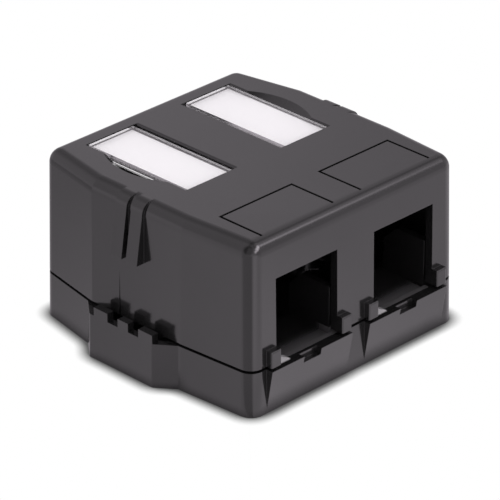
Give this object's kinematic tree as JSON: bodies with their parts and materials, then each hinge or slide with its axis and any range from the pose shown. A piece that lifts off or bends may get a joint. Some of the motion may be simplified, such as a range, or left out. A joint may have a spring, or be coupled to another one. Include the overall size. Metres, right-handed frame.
{
  "type": "surface mount jack box",
  "caption": "Surface mount box for keystone jacks: a base tray with cable-tie teeth and jack cradles, a press-on hood with jack windows, and label pockets with clear windows.",
  "frame": {"origin": "on the mounting surface, under the middle of the box", "axes": "+X to the right seen from the jack windows, -Y out of the jack windows, +Z away from the mounting surface; the box is mirror-symmetric about X = 0, but for the small guide pad at the left of each jack window"},
  "size_m": [0.0594, 0.055, 0.0328],
  "materials": {
    "base_plastic": "black, satin gloss",
    "cover_plastic": "black, satin gloss",
    "clear_plastic": "clear, polished",
    "card": "white, matt"
  },
  "bodies": {
    "base": {"base": "base_plastic"},
    "cover": {"cover": "cover_plastic", "label_card_left": "card", "label_card_right": "card"},
    "label_window_left": {"label_window_left": "clear_plastic"},
    "label_window_right": {"label_window_right": "clear_plastic"}
  },
  "joints": [
    {"name": "cover_lift", "type": "slide", "parent": "base", "child": "cover", "axis": [0, 0, 1], "range_m": [0, 0.04]},
    {"name": "label_window_left_lift", "type": "slide", "parent": "cover", "child": "label_window_left", "axis": [0, 0, 1], "range_m": [0, 0.008]},
    {"name": "label_window_right_lift", "type": "slide", "parent": "cover", "child": "label_window_right", "axis": [0, 0, 1], "range_m": [0, 0.008]}
  ]
}
